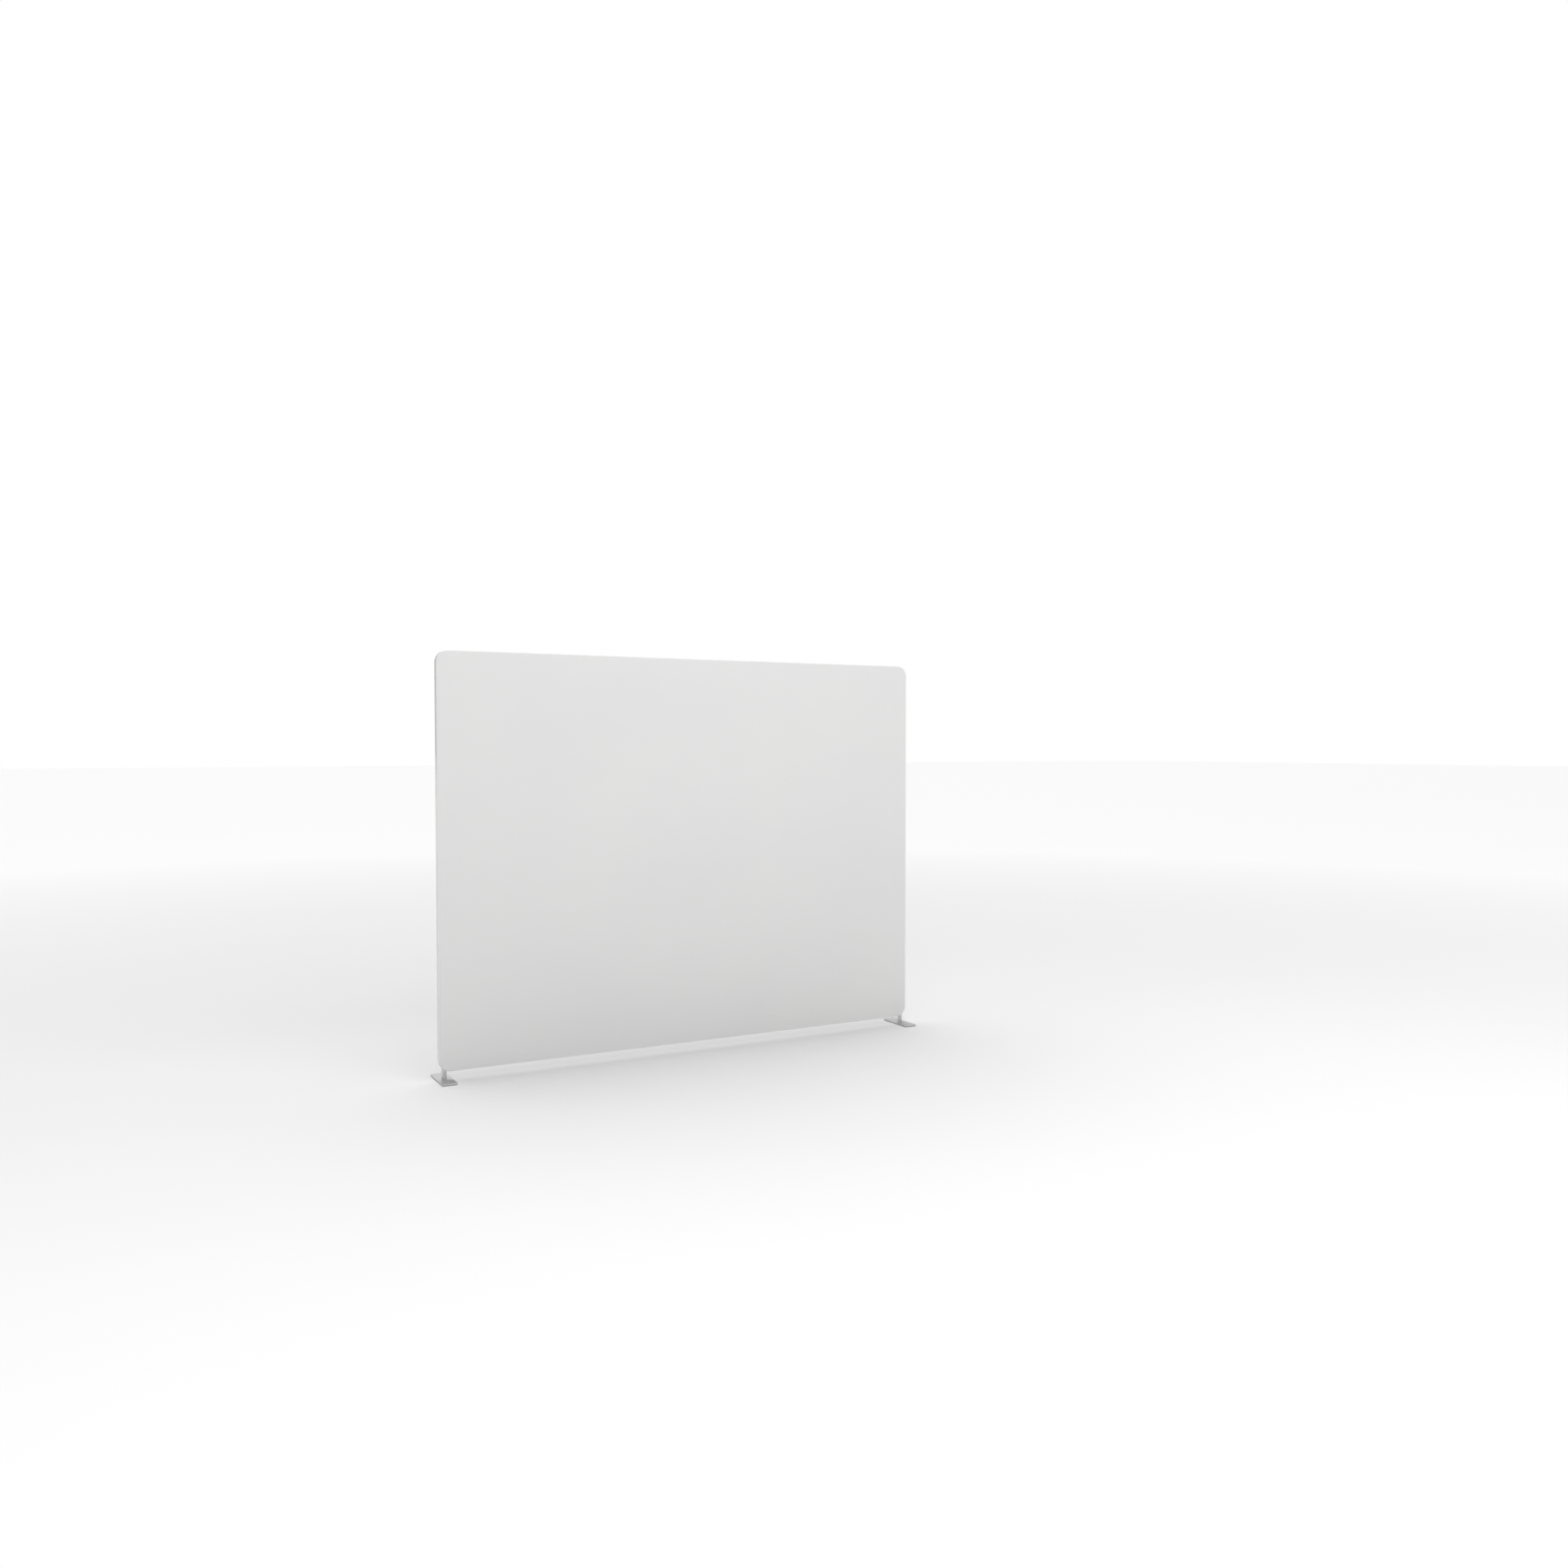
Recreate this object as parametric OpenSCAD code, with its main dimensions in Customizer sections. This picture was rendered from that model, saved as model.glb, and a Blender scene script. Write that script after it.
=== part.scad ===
// Desk privacy panel: a rigid rounded sheet that stands on two flat feet, which turn on their posts.
// The origin is on the desk, under the middle of the sheet.
// +X runs along the sheet to the right, +Y to the back and +Z up.

/* [Sheet] */
// Width of the sheet
sheet_w = 800; // [500:10:1200]
// Height of the sheet
sheet_h = 600; // [300:10:700]
// Thickness of the sheet
sheet_t = 10; // [10:0.5:15]
// Radius of the sheet's four corners
corner_r = 17; // [14:0.5:22]
// Polished chamfer along the sheet's front and back edges
edge_chamfer = 0.6; // [0.2:0.1:0.8]
// Clear height between the desk and the sheet
desk_gap = 13; // [12:0.5:16]

/* [Feet] */
// Length of a foot plate, across the sheet
foot_l = 68; // [60:1:160]
// Width of a foot plate, along the sheet
foot_w = 22; // [18:1:40]
// Thickness of a foot plate
foot_t = 2; // [2:0.5:4]
// Radius of a foot plate's corners in plan
foot_corner_r = 2; // [1:0.5:6]
// Chamfer around a foot plate's faces
foot_chamfer = 0.3; // [0.1:0.1:0.5]
// Thickness of the rubber pad under a foot plate
pad_t = 0.5; // [0.5:0.25:1.5]
// Margin between the edge of a foot plate and its pad
pad_margin = 0.5; // [0.25:0.25:0.75]

/* [Posts] */
// Distance from each end of the sheet to the axis of its post
post_inset = 8; // [7.5:0.5:12]
// Diameter of the posts and their washers
post_d = 7.5; // [6:0.5:8]
// Chamfer on both ends of a post
post_chamfer = 0.3; // [0.1:0.1:0.6]
// Height of a saddle washer below the sheet's lower edge
saddle_t = 1; // [0.6:0.1:1.5]
// Thickness of a swivel washer
swivel_t = 0.5; // [0.3:0.1:0.8]

/* [Fasteners] */
// Nominal diameter of the threads
thread_d = 3; // [2.5, 3]
// Length of the countersunk foot screws, head included
screw_l = 6; // [5:1:7]
// Length of the studs
stud_l = 16; // [14:1:18]
// Length of a threaded insert
insert_l = 7; // [5:0.5:10]

/* [Hidden] */
$fn = 96;
// Standard proportions of the fasteners
screw_head_d = 1.9 * thread_d;
screw_socket_w = thread_d * 2 / 3;
stud_socket_w = thread_d / 2;
insert_d = 1.4 * thread_d;
// Rim of a screw head, below its cone
screw_rim = 0.3;
// How far a screw head stands back inside the face of the foot plate
screw_sink = 0.05;
// Depths of the hexagon sockets
socket_depth = 1.1;
stud_socket_depth = 1.5;
// Chamfer on the ends of the threads and inserts
thread_chamfer = 0.3;
// Space round a screw or stud in its thread, on the radius
thread_gap = 0.05;
// Space round an insert for its glue, on the radius
glue_gap = 0.05;
// Space between a foot screw and the foot plate that turns on it, on the radius
swivel_gap = 0.08;
// Space between a thread and the washers that it passes through, on the radius
washer_gap = 0.2;
// Space between a screw head and the hole in the pad, on the radius
pad_hole_gap = 1;
// Space between the tip of a foot screw and the stud above it
stud_clearance = 0.45;
// Cover between the corner's arc and the mouth of an insert
insert_cover = 0.3;
// Depth of a sheet's bore above its insert and stud
bore_tail = 1;
// Depth and half-width of the groove round the middle of an insert
insert_groove = 0.3;
insert_groove_half = 0.7;
// Extra length of a cutting shape past the face that it cuts
past = 1;

thread_r = thread_d / 2;
head_r = screw_head_d / 2;
insert_r = insert_d / 2;
// Heights of the stack from the desk up
plate_z = pad_t;
plate_top_z = plate_z + foot_t;
post_z = plate_top_z + swivel_t;
saddle_z = desk_gap - saddle_t;
screw_z = plate_z + screw_sink;
stud_z = screw_z + screw_l + stud_clearance;
// Distance of a post from the middle of the sheet
post_x = sheet_w / 2 - post_inset;
// Height of the corner's arc above the sheet's lower edge, at a distance in from the end
function arc_rise(from_end) = corner_r - sqrt(pow(corner_r, 2) - pow(corner_r - from_end, 2));
insert_z = desk_gap + arc_rise(post_inset - insert_r) + insert_cover;
bore_top_z = max(insert_z + insert_l, stud_z + stud_l) + bore_tail;

LEFT = -1;
RIGHT = 1;

// Section of a plate across two opposite edges: a rectangle with chamfered corners
module edge_section(width, thickness, chamfer) {
    polygon([
        [-width / 2 + chamfer, 0],
        [width / 2 - chamfer, 0],
        [width / 2, chamfer],
        [width / 2, thickness - chamfer],
        [width / 2 - chamfer, thickness],
        [-width / 2 + chamfer, thickness],
        [-width / 2, thickness - chamfer],
        [-width / 2, chamfer]
    ]);
}

// Half section of a round bar that is chamfered at both ends, with an optional bore
module bar_half_section(radius, length, chamfer, bore_r = 0) {
    polygon([
        [bore_r, 0],
        [radius - chamfer, 0],
        [radius, chamfer],
        [radius, length - chamfer],
        [radius - chamfer, length],
        [bore_r, length]
    ]);
}

// Flat plate with rounded corners and chamfered faces, centred on Z and standing on z = 0
module rounded_plate(width, depth, thickness, radius, chamfer) {
    straight_w = width - 2 * radius;
    straight_d = depth - 2 * radius;
    translate([-straight_w / 2, 0, 0])
        rotate([90, 0, 90])
            linear_extrude(straight_w)
                edge_section(depth, thickness, chamfer);
    translate([0, straight_d / 2, 0])
        rotate([90, 0, 0])
            linear_extrude(straight_d)
                edge_section(width, thickness, chamfer);
    for (x = [-1, 1], y = [-1, 1])
        translate([x * straight_w / 2, y * straight_d / 2, 0])
            rotate_extrude()
                bar_half_section(radius, thickness, chamfer);
}

// Flat ring that stands on z = 0
module ring(outer_d, bore_r, thickness) {
    difference() {
        cylinder(d = outer_d, h = thickness);
        translate([0, 0, -past])
            cylinder(r = bore_r, h = thickness + 2 * past);
    }
}

// Countersunk screw with its head down and its flat face on z = 0, grown by gap on the radius
module countersunk_form(length, gap) {
    rotate_extrude()
        polygon([
            [0, 0],
            [head_r + gap, 0],
            [head_r + gap, screw_rim],
            [thread_r + gap, screw_rim + head_r - thread_r],
            [thread_r + gap, length - thread_chamfer],
            [thread_r + gap - thread_chamfer, length],
            [0, length]
        ]);
}

// Hexagon socket that opens downwards at z = 0
module hex_socket(across_flats, depth) {
    translate([0, 0, -past])
        cylinder(d = across_flats / cos(30), h = depth + past, $fn = 6);
}

module at_post(side) {
    translate([side * post_x, 0, 0])
        children();
}

// The sheet before it is drilled
module sheet_blank() {
    translate([0, sheet_t / 2, desk_gap + sheet_h / 2])
        rotate([90, 0, 0])
            rounded_plate(sheet_w, sheet_h, sheet_t, corner_r, edge_chamfer);
}

module sheet() {
    color("white")
        difference() {
            sheet_blank();
            for (side = [LEFT, RIGHT])
                at_post(side)
                    translate([0, 0, desk_gap - past])
                        cylinder(r = insert_r + glue_gap, h = bore_top_z - desk_gap + past);
        }
}

module insert(side) {
    middle = insert_l / 2;
    color("goldenrod")
        at_post(side)
            translate([0, 0, insert_z])
                rotate_extrude()
                    polygon([
                        [thread_r + thread_gap, 0],
                        [insert_r - thread_chamfer, 0],
                        [insert_r, thread_chamfer],
                        [insert_r, middle - insert_groove_half],
                        [insert_r - insert_groove, middle - insert_groove_half],
                        [insert_r - insert_groove, middle + insert_groove_half],
                        [insert_r, middle + insert_groove_half],
                        [insert_r, insert_l - thread_chamfer],
                        [insert_r - thread_chamfer, insert_l],
                        [thread_r + thread_gap, insert_l]
                    ]);
}

module stud(side) {
    color("gray")
        at_post(side)
            translate([0, 0, stud_z])
                difference() {
                    rotate_extrude()
                        bar_half_section(thread_r, stud_l, thread_chamfer);
                    hex_socket(stud_socket_w, stud_socket_depth);
                }
}

// Washer that fills the space between the flat post and the sheet's round corner
module saddle_washer(side) {
    top_z = desk_gap + arc_rise(post_inset - post_d / 2);
    color("silver")
        difference() {
            at_post(side)
                translate([0, 0, saddle_z])
                    ring(post_d, thread_r + washer_gap, top_z - saddle_z);
            sheet_blank();
        }
}

module post(side) {
    color("silver")
        at_post(side)
            translate([0, 0, post_z])
                rotate_extrude()
                    bar_half_section(post_d / 2, saddle_z - post_z, post_chamfer, thread_r + thread_gap);
}

module swivel_washer(side) {
    color("ivory")
        at_post(side)
            translate([0, 0, plate_top_z])
                ring(post_d, thread_r + washer_gap, swivel_t);
}

module foot_screw(side) {
    color("gray")
        at_post(side)
            translate([0, 0, screw_z])
                difference() {
                    countersunk_form(screw_l, 0);
                    hex_socket(screw_socket_w, socket_depth);
                }
}

module foot_plate(side) {
    color("silver")
        at_post(side)
            difference() {
                translate([0, 0, plate_z])
                    rounded_plate(foot_w, foot_l, foot_t, foot_corner_r, foot_chamfer);
                translate([0, 0, screw_z])
                    countersunk_form(screw_l, swivel_gap);
                cylinder(r = head_r + swivel_gap, h = screw_z + screw_rim / 2);
            }
}

module grip_pad(side) {
    pad_w = foot_w - 2 * pad_margin;
    pad_l = foot_l - 2 * pad_margin;
    color("dimgray")
        at_post(side)
            difference() {
                rounded_plate(pad_w, pad_l, pad_t, foot_corner_r - pad_margin, 0);
                translate([0, 0, -past])
                    cylinder(r = head_r + pad_hole_gap, h = pad_t + 2 * past);
            }
}

sheet();
insert(LEFT);  // left_insert
insert(RIGHT);  // right_insert
stud(LEFT);  // left_stud
stud(RIGHT);  // right_stud
saddle_washer(LEFT);  // left_saddle_washer
saddle_washer(RIGHT);  // right_saddle_washer
post(LEFT);  // left_post
post(RIGHT);  // right_post
swivel_washer(LEFT);  // left_swivel_washer
swivel_washer(RIGHT);  // right_swivel_washer
foot_screw(LEFT);  // left_foot_screw
foot_screw(RIGHT);  // right_foot_screw
foot_plate(LEFT);  // left_foot_plate
foot_plate(RIGHT);  // right_foot_plate
grip_pad(LEFT);  // left_grip_pad
grip_pad(RIGHT);  // right_grip_pad
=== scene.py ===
import math

import bpy
from mathutils import Matrix, Vector


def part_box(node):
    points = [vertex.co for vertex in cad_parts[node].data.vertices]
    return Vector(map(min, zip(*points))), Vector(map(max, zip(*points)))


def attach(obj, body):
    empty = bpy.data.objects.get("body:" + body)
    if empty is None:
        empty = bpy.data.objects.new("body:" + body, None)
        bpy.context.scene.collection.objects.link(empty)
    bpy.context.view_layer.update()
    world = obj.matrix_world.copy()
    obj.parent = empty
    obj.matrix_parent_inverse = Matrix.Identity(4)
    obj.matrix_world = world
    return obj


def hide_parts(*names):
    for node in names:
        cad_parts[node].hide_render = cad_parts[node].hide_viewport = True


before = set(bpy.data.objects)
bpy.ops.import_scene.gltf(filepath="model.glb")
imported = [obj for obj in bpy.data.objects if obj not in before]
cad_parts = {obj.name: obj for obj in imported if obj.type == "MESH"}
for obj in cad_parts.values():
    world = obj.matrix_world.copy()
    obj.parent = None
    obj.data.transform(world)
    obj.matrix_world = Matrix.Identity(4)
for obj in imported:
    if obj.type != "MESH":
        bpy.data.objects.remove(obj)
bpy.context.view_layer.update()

MM = 0.001
SIDES = ("left", "right")

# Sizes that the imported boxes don't hold, as in part.scad
SHEET_CORNER_R = 17 * MM
FOOT_CORNER_R = 2 * MM
PAD_CORNER_R = 1.5 * MM
POST_CHAMFER = 0.3 * MM
THREAD_R = 1.5 * MM
THREAD_CHAMFER = 0.3 * MM
THREAD_GAP = 0.05 * MM
WASHER_GAP = 0.2 * MM
SWIVEL_GAP = 0.08 * MM
GLUE_GAP = 0.05 * MM
BORE_TAIL = 1 * MM
SCREW_RIM = 0.3 * MM
SCREW_SOCKET_W = 2 * MM
SCREW_SOCKET_DEPTH = 1.1 * MM
STUD_SOCKET_W = 1.5 * MM
STUD_SOCKET_DEPTH = 1.5 * MM
PAD_HOLE_GAP = 1 * MM
INSERT_GROOVE = 0.3 * MM
INSERT_GROOVE_HALF = 0.7 * MM

# Details that only the shown meshes have
THREAD_PITCH = 0.5 * MM
THREAD_DEPTH = 0.27 * MM
SHEET_EDGE_R = 0.7 * MM
FOOT_EDGE_R = 0.35 * MM
PAD_EDGE_R = 0.12 * MM

# How far a cutting shape or a thread's row keeps past or short of a face
PAST = 1 * MM
SHORT = 0.05 * MM
# How much narrower the flat tip of a thread is than its chamfer
TIP_STEP = 0.1 * MM

# The camera stands left of the sheet and a little under its top edge, and looks across it
CAMERA_PLACE = Vector((-0.853, -1.829, 0.477))
CAMERA_TURN = math.radians(29.07)
CAMERA_DIP = math.radians(1.68)
CAMERA_LENS = 29.5
CAMERA_SENSOR = 36

# Brightness of the dome that lights the object; the camera sees the same dome as white
DOME_STRENGTH = 0.265
# Half the side of the square floor, in metres
FLOOR_HALF = 30


# ---------------------------------------------------------------- mesh helpers


def new_piece(name, vertices, faces, body, node, material):
    """Makes a shown mesh that rides on a body in place of a CAD node."""
    mesh = bpy.data.meshes.new(name)
    mesh.from_pydata([tuple(v) for v in vertices], [], faces)
    mesh.validate()
    mesh.polygons.foreach_set("use_smooth", [True] * len(mesh.polygons))
    mesh.materials.append(material)
    piece = bpy.data.objects.new(name, mesh)
    bpy.context.collection.objects.link(piece)
    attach(piece, body)
    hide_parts(node)
    return piece


def even_normals(piece, sharp_angle=35):
    """Lets the large faces keep their own normals, so that only the rounded edges shade as round."""
    piece.data.set_sharp_from_angle(angle=math.radians(sharp_angle))
    weights = piece.modifiers.new("even_normals", "WEIGHTED_NORMAL")
    weights.mode = "FACE_AREA"
    weights.weight = 100
    weights.keep_sharp = True


def stack_loops(rows, centre, count, ring=False):
    """Vertices and faces of a surface through rows round a vertical axis.

    A row is a function of the angle that gives (radius, height). In a solid the first and last rows are
    closed to a point on the axis; in a ring the last row joins the first.
    """
    vertices, faces = [], []
    for row in rows:
        for k in range(count):
            angle = 2 * math.pi * k / count
            radius, height = row(angle)
            x = centre[0] + radius * math.cos(angle)
            y = centre[1] + radius * math.sin(angle)
            vertices.append((x, y, height))
    last = len(rows) - 1
    for r in range(len(rows) if ring else last):
        above = (r + 1) % len(rows)
        for k in range(count):
            after = (k + 1) % count
            faces.append((r * count + k, r * count + after, above * count + after, above * count + k))
    if not ring:
        for r, turn in ((0, -1), (last, 1)):
            centre_height = sum(rows[r](2 * math.pi * k / count)[1] for k in range(count)) / count
            vertices.append((centre[0], centre[1], centre_height))
            hub = len(vertices) - 1
            for k in range(count):
                after = (k + 1) % count
                faces.append((hub, r * count + k, r * count + after)[::turn])
    return vertices, faces


def level(radius, height):
    """A plain round row."""
    return lambda angle: (radius, height)


def hexagon(across_flats, height):
    """A row that follows a hexagon."""
    def row(angle):
        from_flat = (angle + math.pi / 6) % (math.pi / 3) - math.pi / 6
        return across_flats / 2 / math.cos(from_flat), height
    return row


def socket_rows(bottom, across_flats, depth, tip_r, mouth, flare):
    """Rows of a hexagon socket that opens downwards, from the cone above it to its round mouth."""
    cone_height = 0.3 * MM
    corner_r = across_flats / 2 / math.cos(math.pi / 6)
    return [
        level(tip_r, bottom + depth + cone_height),
        hexagon(across_flats, bottom + depth),
        hexagon(across_flats, bottom + mouth),
        level(corner_r + flare, bottom),
    ]


def thread_rows(bottom, top, crest_r, chamfer, samples=8):
    """Rows of a V thread that fades into a chamfer at both ends.

    Its crest is flat for a fifth of the pitch.
    """
    steepness = 1.25
    rows = []
    steps = round((top - bottom) / THREAD_PITCH * samples)
    for i in range(steps + 1):
        height = bottom + (top - bottom) * i / steps
        from_end = min(height - bottom, top - height)
        limit = crest_r - max(0.0, chamfer - from_end)

        def row(angle, height=height, limit=limit):
            turn = (height / THREAD_PITCH - angle / (2 * math.pi)) % 1.0
            flank = min(1.0, steepness * (1 - abs(2 * turn - 1)))
            return min(limit, crest_r - THREAD_DEPTH * (1 - flank)), height
        rows.append(row)
    return rows


def slab_mesh(width, depth, thickness, corner_r, edge_r, corner_steps, edge_steps):
    """A plate with round corners and rounded edges, centred on Z and standing on z = 0."""
    outline = []
    for quarter, (sx, sy) in enumerate(((1, 1), (-1, 1), (-1, -1), (1, -1))):
        for k in range(corner_steps + 1):
            angle = math.pi / 2 * (quarter + k / corner_steps)
            centre = (sx * (width / 2 - corner_r), sy * (depth / 2 - corner_r))
            outline.append((*centre, math.cos(angle), math.sin(angle)))
    profile = []
    for k in range(edge_steps + 1):
        angle = math.pi / 2 * k / edge_steps
        profile.append((edge_r * (1 - math.sin(angle)), edge_r * (1 - math.cos(angle))))
    profile += [(inset, thickness - height) for inset, height in reversed(profile)]
    vertices = []
    for inset, height in profile:
        for x, y, nx, ny in outline:
            vertices.append((x + nx * (corner_r - inset), y + ny * (corner_r - inset), height))
    count = len(outline)
    faces = [tuple(reversed(range(count))), tuple(range((len(profile) - 1) * count, len(profile) * count))]
    for r in range(len(profile) - 1):
        for k in range(count):
            after = (k + 1) % count
            faces.append((r * count + k, r * count + after, (r + 1) * count + after, (r + 1) * count + k))
    return vertices, faces


def cut_away(piece, vertices, faces):
    """Takes a closed cutting shape out of a piece."""
    mesh = bpy.data.meshes.new("cutter")
    mesh.from_pydata([tuple(v) for v in vertices], [], faces)
    mesh.polygons.foreach_set("use_smooth", [True] * len(mesh.polygons))
    cutter = bpy.data.objects.new("cutter", mesh)
    bpy.context.collection.objects.link(cutter)
    boolean = piece.modifiers.new("cut", "BOOLEAN")
    boolean.operation = "DIFFERENCE"
    boolean.solver = "EXACT"
    boolean.object = cutter
    bpy.context.view_layer.update()
    cut = bpy.data.meshes.new_from_object(piece.evaluated_get(bpy.context.evaluated_depsgraph_get()))
    piece.modifiers.remove(boolean)
    piece.data = cut
    bpy.data.objects.remove(cutter)


# ---------------------------------------------------------------- materials


class Shader:
    """A material's node tree, with short calls for the few nodes that these materials use."""

    def __init__(self, name):
        self.material = bpy.data.materials.new(name)
        self.material.use_nodes = True
        self.tree = self.material.node_tree
        self.surface = self.tree.nodes["Principled BSDF"]
        self.coordinates = self.tree.nodes.new("ShaderNodeTexCoord").outputs["Object"]

    def link(self, start, end):
        self.tree.links.new(start, end)

    def set(self, **values):
        """Sets the surface's own sockets; a name's underscores stand for spaces."""
        for name, value in values.items():
            self.surface.inputs[name.replace("_", " ")].default_value = value

    def noise(self, scale, stretch=(1, 1, 1), detail=3.0, roughness=0.5):
        mapping = self.tree.nodes.new("ShaderNodeMapping")
        mapping.inputs["Scale"].default_value = stretch
        self.link(self.coordinates, mapping.inputs["Vector"])
        noise = self.tree.nodes.new("ShaderNodeTexNoise")
        noise.inputs["Scale"].default_value = scale
        noise.inputs["Detail"].default_value = detail
        noise.inputs["Roughness"].default_value = roughness
        self.link(mapping.outputs["Vector"], noise.inputs["Vector"])
        return noise.outputs["Fac"]

    def rings(self, spacing):
        """Even bands along Z, a little out of true."""
        wave = self.tree.nodes.new("ShaderNodeTexWave")
        wave.bands_direction = "Z"
        wave.inputs["Scale"].default_value = math.pi / 10 / spacing
        wave.inputs["Distortion"].default_value = 0.6
        wave.inputs["Detail Scale"].default_value = 0.5
        self.link(self.coordinates, wave.inputs["Vector"])
        return wave.outputs["Fac"]

    def sum(self, first, second):
        node = self.tree.nodes.new("ShaderNodeMath")
        node.operation = "ADD"
        self.link(first, node.inputs[0])
        self.link(second, node.inputs[1])
        return node.outputs["Value"]

    def distance(self):
        """Distance from the middle of the object's base."""
        node = self.tree.nodes.new("ShaderNodeVectorMath")
        node.operation = "LENGTH"
        self.link(self.coordinates, node.inputs[0])
        return node.outputs["Value"]

    def between(self, factor, low, high, start=0.3, end=0.7):
        """Maps a factor from start..end to low..high, held at both ends."""
        node = self.tree.nodes.new("ShaderNodeMapRange")
        node.inputs["From Min"].default_value = start
        node.inputs["From Max"].default_value = end
        node.inputs["To Min"].default_value = low
        node.inputs["To Max"].default_value = high
        self.link(factor, node.inputs["Value"])
        return node.outputs["Result"]

    def colours(self, factor, first, second, start=0.3, end=0.7):
        ramp = self.tree.nodes.new("ShaderNodeValToRGB")
        ramp.color_ramp.elements[0].position = start
        ramp.color_ramp.elements[1].position = end
        ramp.color_ramp.elements[0].color = (*first, 1)
        ramp.color_ramp.elements[1].color = (*second, 1)
        self.link(factor, ramp.inputs["Fac"])
        return ramp.outputs["Color"]

    def bump(self, height, distance, strength=1.0, after=None):
        node = self.tree.nodes.new("ShaderNodeBump")
        node.inputs["Strength"].default_value = strength
        node.inputs["Distance"].default_value = distance
        self.link(height, node.inputs["Height"])
        if after is not None:
            self.link(after, node.inputs["Normal"])
        return node.outputs["Normal"]


def white_acrylic():
    """Opaque white cast sheet: a milky body under a smooth surface with the faint waves of casting."""
    s = Shader("white_acrylic")
    tone = s.noise(5, detail=2)
    s.link(s.colours(tone, (0.775, 0.777, 0.775), (0.795, 0.795, 0.79)), s.surface.inputs["Base Color"])
    haze = s.noise(60, detail=6, roughness=0.65)
    s.link(s.between(haze, 0.13, 0.19), s.surface.inputs["Roughness"])
    waves = s.bump(s.noise(9, detail=1), 0.0004, 0.25)
    grain = s.bump(s.noise(1800, detail=2), 0.00001, 0.2, after=waves)
    s.link(grain, s.surface.inputs["Normal"])
    s.set(IOR=1.49)
    return s.material


def steel(name, stretch, colour, rough, rings=0.0):
    """Stainless steel with fine lines; stretch is small along the lines and 1 across them.

    A turned piece also has rings round Z, this far apart, from the tool that cut it.
    """
    s = Shader(name)
    lines = s.noise(2600, stretch=stretch, detail=5, roughness=0.7)
    patches = s.noise(45, detail=3)
    dark, light = [tuple(c * k for c in colour) for k in (0.93, 1.05)]
    s.link(s.colours(lines, dark, light), s.surface.inputs["Base Color"])
    s.link(s.sum(s.between(lines, rough - 0.05, rough + 0.05), s.between(patches, -0.02, 0.04)),
           s.surface.inputs["Roughness"])
    relief = s.bump(lines, 0.00001, 0.5)
    if rings:
        relief = s.bump(s.rings(rings), 0.00001, 0.5, after=relief)
    s.link(relief, s.surface.inputs["Normal"])
    s.set(Metallic=1.0)
    return s.material


def nylon(name, colour):
    s = Shader(name)
    mottle = s.noise(400, detail=4)
    s.link(s.colours(mottle, tuple(c * 0.96 for c in colour), colour), s.surface.inputs["Base Color"])
    s.link(s.between(mottle, 0.42, 0.55), s.surface.inputs["Roughness"])
    s.link(s.bump(s.noise(6000, detail=2), 0.00001, 0.4), s.surface.inputs["Normal"])
    return s.material


def brass():
    s = Shader("insert_brass")
    marks = s.noise(3000, stretch=(0.05, 0.05, 1), detail=4)
    s.link(s.colours(marks, (0.62, 0.42, 0.15), (0.74, 0.53, 0.22)), s.surface.inputs["Base Color"])
    s.link(s.between(marks, 0.24, 0.38), s.surface.inputs["Roughness"])
    s.set(Metallic=1.0)
    return s.material


def rubber():
    s = Shader("pad_rubber")
    grain = s.noise(3500, detail=5, roughness=0.6)
    s.link(s.colours(grain, (0.02, 0.02, 0.021), (0.045, 0.045, 0.046)), s.surface.inputs["Base Color"])
    s.link(s.between(grain, 0.7, 0.9), s.surface.inputs["Roughness"])
    s.link(s.bump(grain, 0.00003, 0.6), s.surface.inputs["Normal"])
    return s.material


def pale_floor():
    """Matt floor, lighter away from the lamps, so that it looks evenly lit out to the horizon."""
    s = Shader("pale_floor")
    reach = s.sum(s.between(s.distance(), 0, 1, start=0.5, end=4), s.between(s.noise(1.5), -0.01, 0.01))
    shade = s.colours(reach, (0.7, 0.7, 0.7), (0.93, 0.93, 0.93), start=0, end=1)
    s.link(shade, s.surface.inputs["Base Color"])
    s.set(Roughness=0.8, Specular_IOR_Level=0.1)
    return s.material


# ---------------------------------------------------------------- pieces


def axis_of(node):
    low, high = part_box(node)
    return ((low.x + high.x) / 2, (low.y + high.y) / 2)


def make_sheet(material):
    low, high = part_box("sheet")
    size = high - low
    vertices, faces = slab_mesh(size.x, size.z, size.y, SHEET_CORNER_R, SHEET_EDGE_R, 28, 5)
    middle_of_back = Vector(((low.x + high.x) / 2, high.y, (low.z + high.z) / 2))
    upright = Matrix.Translation(middle_of_back) @ Matrix.Rotation(math.pi / 2, 4, "X")
    vertices = [upright @ Vector(v) for v in vertices]
    sheet = new_piece("acrylic_sheet", vertices, faces, "panel", "sheet", material)
    for side in SIDES:
        insert_low, insert_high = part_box(f"{side}_insert")
        stud_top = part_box(f"{side}_stud")[1].z
        bore_r = (insert_high.x - insert_low.x) / 2 + GLUE_GAP
        bore_top = max(insert_high.z, stud_top) + BORE_TAIL
        rows = [level(bore_r, low.z - PAST), level(bore_r, bore_top)]
        cut_away(sheet, *stack_loops(rows, axis_of(f"{side}_insert"), 64))
    even_normals(sheet)


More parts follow.
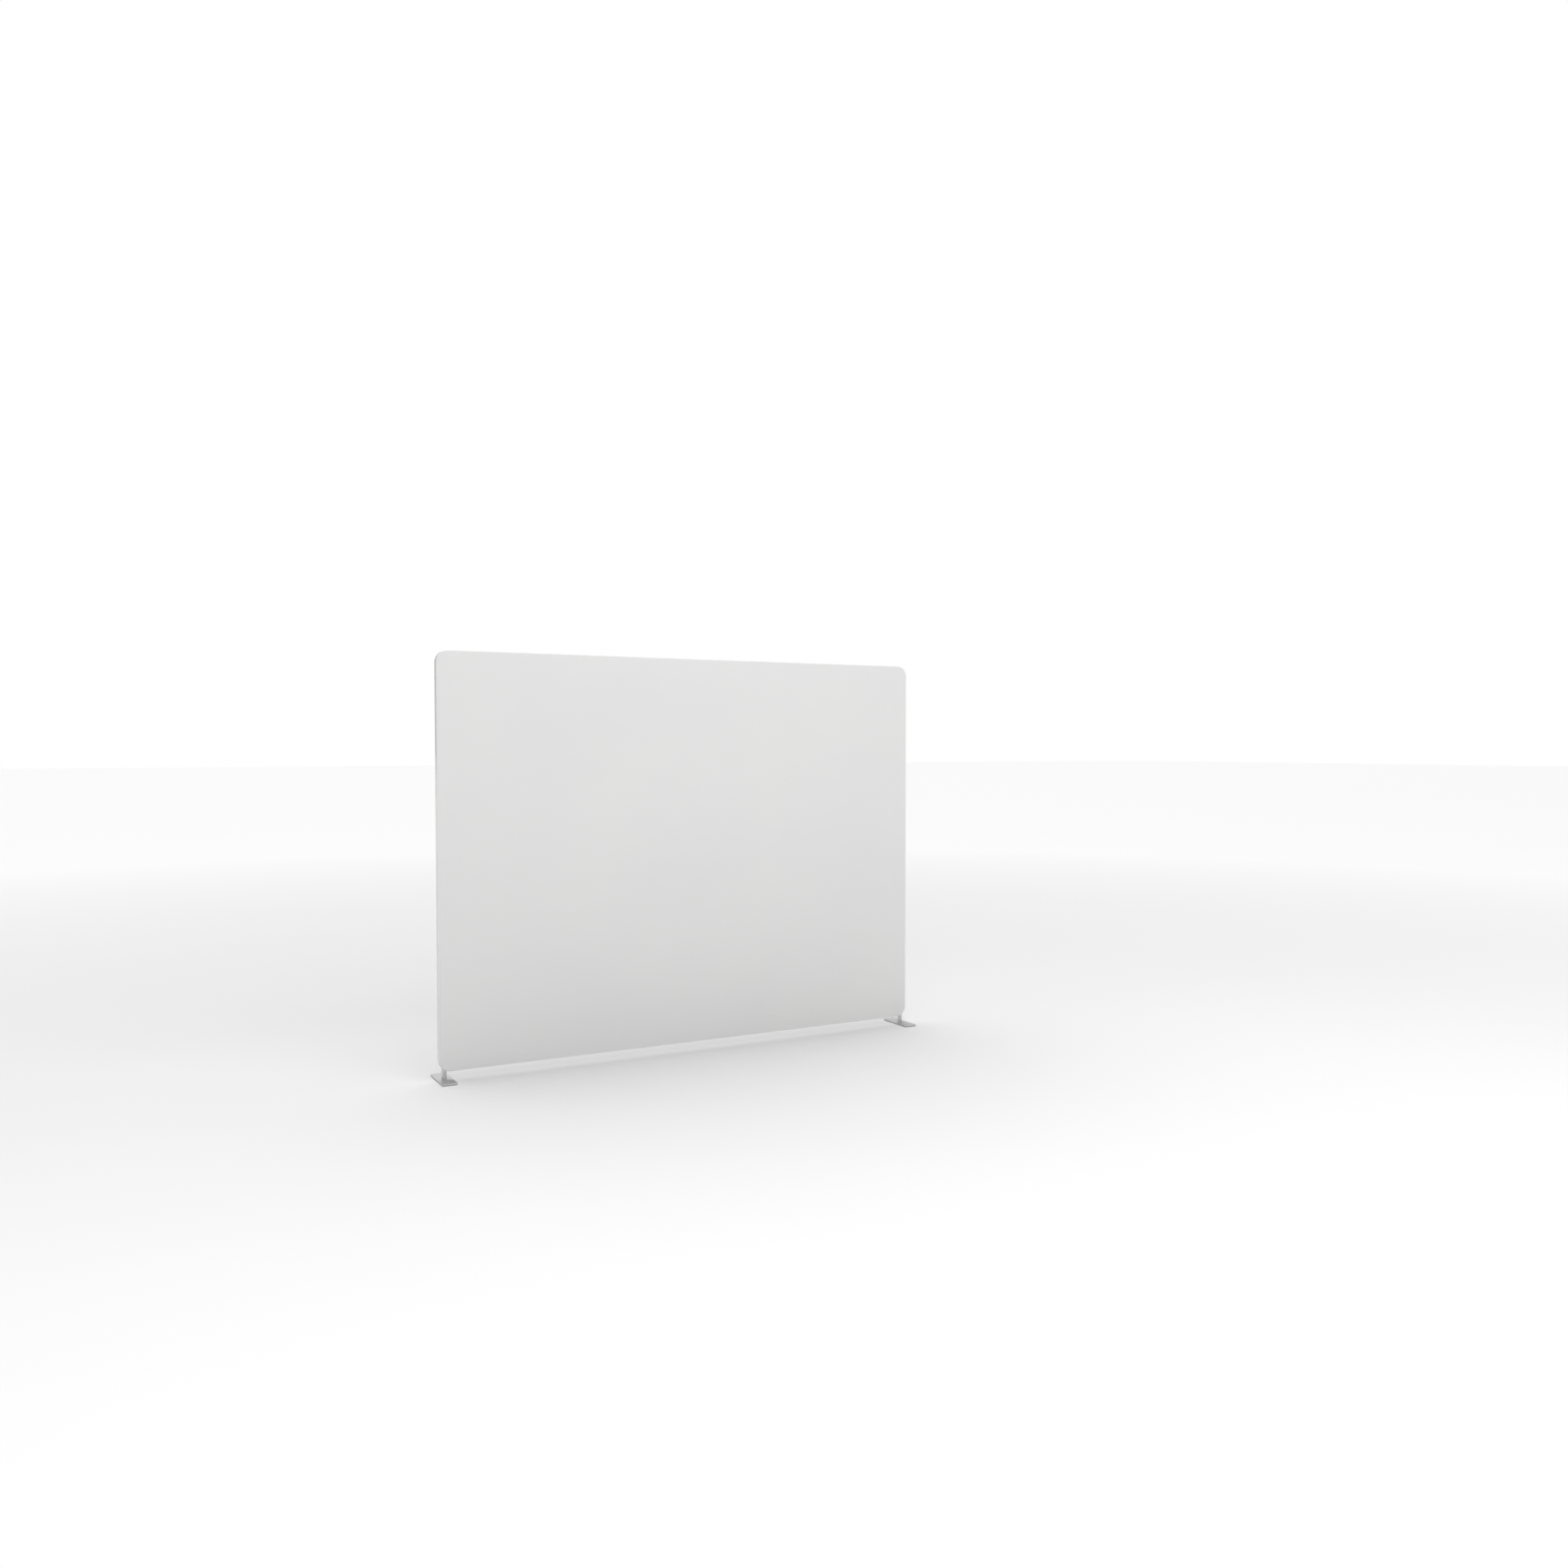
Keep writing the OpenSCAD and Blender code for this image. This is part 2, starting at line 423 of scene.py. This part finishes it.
def make_foot_plate(side, material):
    node = f"{side}_foot_plate"
    low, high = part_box(node)
    size = high - low
    x, y = axis_of(node)
    vertices, faces = slab_mesh(size.x, size.y, size.z, FOOT_CORNER_R, FOOT_EDGE_R, 10, 4)
    vertices = [Vector(v) + Vector((x, y, low.z)) for v in vertices]
    plate = new_piece(f"{side}_brushed_plate", vertices, faces, f"{side}_foot", node, material)
    screw_low, screw_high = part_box(f"{side}_foot_screw")
    head_r = (screw_high.x - screw_low.x) / 2 + SWIVEL_GAP
    hole_r = THREAD_R + SWIVEL_GAP
    rim_top = screw_low.z + SCREW_RIM
    rows = [
        level(head_r, low.z - PAST),
        level(head_r, rim_top),
        level(hole_r, rim_top + head_r - hole_r),
        level(hole_r, high.z + PAST),
    ]
    cut_away(plate, *stack_loops(rows, (x, y), 64))
    even_normals(plate)


def groove_bars(low, high, hole_r):
    """Bars that cut shallow grooves across the underside of a pad, clear of its ends and its hole."""
    spacing = 2.5 * MM
    half_width = 0.3 * MM
    depth = 0.15 * MM
    margin = 1.5 * MM
    middle = (low.y + high.y) / 2
    half_length = (high.y - low.y) / 2
    left = low.x + margin
    right = high.x - margin
    box_faces = ((3, 2, 1, 0), (4, 5, 6, 7), (0, 1, 5, 4), (1, 2, 6, 5), (2, 3, 7, 6), (3, 0, 4, 7))
    vertices, faces = [], []
    for sign in (-1, 1):
        from_middle = hole_r + margin + half_width
        while from_middle < half_length - margin - half_width:
            y = middle + sign * from_middle
            start = len(vertices)
            for z in (low.z - depth, low.z + depth):
                for x, edge in ((left, -1), (right, -1), (right, 1), (left, 1)):
                    vertices.append((x, y + edge * half_width, z))
            for face in box_faces:
                faces.append(tuple(start + k for k in face))
            from_middle += spacing
    return vertices, faces


def make_pad(side, material):
    node = f"{side}_grip_pad"
    low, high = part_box(node)
    size = high - low
    x, y = axis_of(node)
    vertices, faces = slab_mesh(size.x, size.y, size.z, PAD_CORNER_R, PAD_EDGE_R, 8, 3)
    vertices = [Vector(v) + Vector((x, y, low.z)) for v in vertices]
    pad = new_piece(f"{side}_rubber_pad", vertices, faces, f"{side}_foot", node, material)
    screw_low, screw_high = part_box(f"{side}_foot_screw")
    hole_r = (screw_high.x - screw_low.x) / 2 + PAD_HOLE_GAP
    rows = [level(hole_r, low.z - PAST), level(hole_r, high.z + PAST)]
    cut_away(pad, *stack_loops(rows, (x, y), 64))
    cut_away(pad, *groove_bars(low, high, hole_r))
    even_normals(pad)


def make_post(side, material):
    node = f"{side}_post"
    low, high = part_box(node)
    radius = (high.x - low.x) / 2
    chamfer = POST_CHAMFER
    bore_r = THREAD_R + THREAD_GAP
    soften = 0.08 * MM
    rows = [
        level(bore_r, low.z),
        level(radius - chamfer - soften, low.z),
        level(radius - chamfer, low.z + soften / 3),
        level(radius - soften / 3, low.z + chamfer),
        level(radius, low.z + chamfer + soften),
        level(radius, high.z - chamfer - soften),
        level(radius - soften / 3, high.z - chamfer),
        level(radius - chamfer, high.z - soften / 3),
        level(radius - chamfer - soften, high.z),
        level(bore_r, high.z),
    ]
    vertices, faces = stack_loops(rows, axis_of(node), 72, ring=True)
    post = new_piece(f"{side}_turned_post", vertices, faces, "panel", node, material)
    even_normals(post)


def make_swivel_washer(side, material):
    node = f"{side}_swivel_washer"
    low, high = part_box(node)
    radius = (high.x - low.x) / 2
    bore_r = THREAD_R + WASHER_GAP
    bulge = 0.1 * MM
    rows = [level(bore_r, low.z), level(radius - bulge, low.z)]
    for k in range(1, 6):
        angle = math.pi * k / 6
        height = low.z + (high.z - low.z) * (1 - math.cos(angle)) / 2
        rows.append(level(radius - bulge * (1 - math.sin(angle)), height))
    rows += [level(radius - bulge, high.z), level(bore_r, high.z)]
    vertices, faces = stack_loops(rows, axis_of(node), 64, ring=True)
    washer = new_piece(f"{side}_nylon_washer", vertices, faces, "panel", node, material)
    even_normals(washer)


def make_saddle_washer(side, material):
    """A ring whose top follows the round corner of the sheet."""
    node = f"{side}_saddle_washer"
    low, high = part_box(node)
    centre = axis_of(node)
    radius = (high.x - low.x) / 2
    bore_r = THREAD_R + WASHER_GAP
    sheet_low, sheet_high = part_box("sheet")
    arc_x = sheet_low.x + SHEET_CORNER_R if side == "left" else sheet_high.x - SHEET_CORNER_R
    arc_z = sheet_low.z + SHEET_CORNER_R

    def on_arc(r):
        def row(angle):
            from_arc = centre[0] + r * math.cos(angle) - arc_x
            return r, arc_z - math.sqrt(SHEET_CORNER_R ** 2 - from_arc ** 2)
        return row

    soften = 0.15 * MM
    steps = 5
    rows = [level(bore_r, low.z), level(radius - soften, low.z), level(radius, low.z + soften)]
    rows += [on_arc(radius + (bore_r - radius) * k / steps) for k in range(steps + 1)]
    vertices, faces = stack_loops(rows, centre, 72, ring=True)
    washer = new_piece(f"{side}_milled_saddle", vertices, faces, "panel", node, material)
    even_normals(washer)


def make_insert(side, material):
    """A brass bush with two bands of diamond knurling and a plain groove between them."""
    node = f"{side}_insert"
    low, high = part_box(node)
    length = high.z - low.z
    outer_r = (high.x - low.x) / 2
    bore_r = THREAD_R + THREAD_GAP
    chamfer = THREAD_CHAMFER
    teeth = 20
    knurl = 0.15 * MM

    def knurled(height):
        def row(angle):
            lean = height / (outer_r * 2 * math.pi) * teeth
            turns = angle / (2 * math.pi) * teeth
            ridges = [abs(2 * ((turns + lean * sign) % 1.0) - 1) for sign in (1, -1)]
            from_end = min(height - low.z, high.z - height)
            limit = outer_r - max(0.0, chamfer - from_end)
            return min(limit, outer_r - knurl * max(ridges)), height
        return row

    rows = [level(bore_r, low.z), level(outer_r - chamfer, low.z)]
    steps = 26
    for k in range(1, steps):
        height = low.z + length * k / steps
        if abs(height - (low.z + high.z) / 2) > INSERT_GROOVE_HALF:
            rows.append(knurled(height))
        else:
            rows.append(level(outer_r - INSERT_GROOVE, height))
    rows += [level(outer_r - chamfer, high.z), level(bore_r, high.z)]
    vertices, faces = stack_loops(rows, axis_of(node), 144, ring=True)
    insert = new_piece(f"{side}_knurled_insert", vertices, faces, "panel", node, material)
    even_normals(insert)


def make_stud(side, material):
    node = f"{side}_stud"
    low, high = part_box(node)
    rows = socket_rows(low.z, STUD_SOCKET_W, STUD_SOCKET_DEPTH, tip_r=0.2 * MM, mouth=0.1 * MM, flare=0)
    rows.append(level(THREAD_R - THREAD_CHAMFER, low.z))
    rows += thread_rows(low.z + SHORT, high.z - SHORT, THREAD_R, THREAD_CHAMFER)
    rows.append(level(THREAD_R - THREAD_CHAMFER - TIP_STEP, high.z))
    vertices, faces = stack_loops(rows, axis_of(node), 48)
    stud = new_piece(f"{side}_threaded_stud", vertices, faces, "panel", node, material)
    even_normals(stud)


def make_foot_screw(side, material):
    node = f"{side}_foot_screw"
    low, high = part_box(node)
    head_r = (high.x - low.x) / 2
    soften = 0.08 * MM
    cone_top = low.z + SCREW_RIM + head_r - THREAD_R
    rows = socket_rows(
        low.z, SCREW_SOCKET_W, SCREW_SOCKET_DEPTH, tip_r=0.3 * MM, mouth=0.15 * MM, flare=0.05 * MM
    )
    rows += [level(head_r - soften, low.z), level(head_r, low.z + soften), level(head_r, low.z + SCREW_RIM)]
    rows += thread_rows(cone_top, high.z - SHORT, THREAD_R, THREAD_CHAMFER)
    rows.append(level(THREAD_R - THREAD_CHAMFER - TIP_STEP, high.z))
    vertices, faces = stack_loops(rows, axis_of(node), 72)
    screw = new_piece(f"{side}_countersunk_screw", vertices, faces, "panel", node, material)
    even_normals(screw)


# ---------------------------------------------------------------- studio


def make_camera():
    data = bpy.data.cameras.new("camera")
    data.lens = CAMERA_LENS
    data.sensor_width = CAMERA_SENSOR
    data.clip_start = 0.05
    data.clip_end = 100
    camera = bpy.data.objects.new("camera", data)
    camera.location = CAMERA_PLACE
    camera.rotation_euler = (math.pi / 2 - CAMERA_DIP, 0, -CAMERA_TURN)
    bpy.context.collection.objects.link(camera)
    bpy.context.scene.camera = camera


def make_floor():
    corners = [(x * FLOOR_HALF, y * FLOOR_HALF, 0) for x, y in ((-1, -1), (1, -1), (1, 1), (-1, 1))]
    mesh = bpy.data.meshes.new("floor")
    mesh.from_pydata(corners, [], [(0, 1, 2, 3)])
    mesh.materials.append(pale_floor())
    floor = bpy.data.objects.new("floor", mesh)
    bpy.context.collection.objects.link(floor)


def soft_box(name, place, target, size, power):
    data = bpy.data.lights.new(name, "AREA")
    data.shape = "RECTANGLE"
    data.size, data.size_y = size
    data.energy = power
    light = bpy.data.objects.new(name, data)
    light.location = place
    light.rotation_euler = (Vector(target) - Vector(place)).to_track_quat("-Z", "Y").to_euler()
    bpy.context.collection.objects.link(light)


def wide_sun(name, place, spread, strength):
    """A soft light that falls off nowhere, shining from a place towards the origin."""
    data = bpy.data.lights.new(name, "SUN")
    data.angle = math.radians(spread)
    data.energy = strength
    light = bpy.data.objects.new(name, data)
    light.rotation_euler = (-Vector(place)).to_track_quat("-Z", "Y").to_euler()
    bpy.context.collection.objects.link(light)


def make_light():
    world = bpy.data.worlds.new("studio")
    world.use_nodes = True
    tree = world.node_tree
    dome = tree.nodes["Background"]
    dome.inputs["Strength"].default_value = DOME_STRENGTH
    dome.inputs["Color"].default_value = (1, 1, 1, 1)
    backdrop = tree.nodes.new("ShaderNodeBackground")
    backdrop.inputs["Color"].default_value = (1, 1, 1, 1)
    mix = tree.nodes.new("ShaderNodeMixShader")
    seen = tree.nodes.new("ShaderNodeLightPath").outputs["Is Camera Ray"]
    tree.links.new(seen, mix.inputs["Fac"])
    tree.links.new(dome.outputs["Background"], mix.inputs[1])
    tree.links.new(backdrop.outputs["Background"], mix.inputs[2])
    tree.links.new(mix.outputs["Shader"], tree.nodes["World Output"].inputs["Surface"])
    bpy.context.scene.world = world
    wide_sun("top_back", place=(0, 0.35, 1), spread=95, strength=2.6)
    soft_box("key", place=(0.05, -1.3, 1.5), target=(0, 0, 0.4), size=(2.2, 0.8), power=15)
    bpy.context.scene.view_settings.view_transform = "Standard"


# ---------------------------------------------------------------- the object

make_camera()
make_light()
make_floor()

plate_steel = steel("foot_steel", stretch=(1, 0.01, 1), colour=(0.6, 0.6, 0.605), rough=0.4)
turned_steel = steel(
    "post_steel", stretch=(0.02, 0.02, 1), colour=(0.66, 0.66, 0.665), rough=0.3, rings=0.25 * MM
)
fastener_steel = steel("fastener_steel", stretch=(0.2, 0.2, 1), colour=(0.55, 0.55, 0.56), rough=0.3)
washer_nylon = nylon("white_nylon", (0.72, 0.71, 0.67))
insert_brass = brass()
pad_rubber = rubber()

make_sheet(white_acrylic())
for side in SIDES:
    make_insert(side, insert_brass)
    make_stud(side, fastener_steel)
    make_saddle_washer(side, turned_steel)
    make_post(side, turned_steel)
    make_swivel_washer(side, washer_nylon)
    make_foot_screw(side, fastener_steel)
    make_foot_plate(side, plate_steel)
    make_pad(side, pad_rubber)
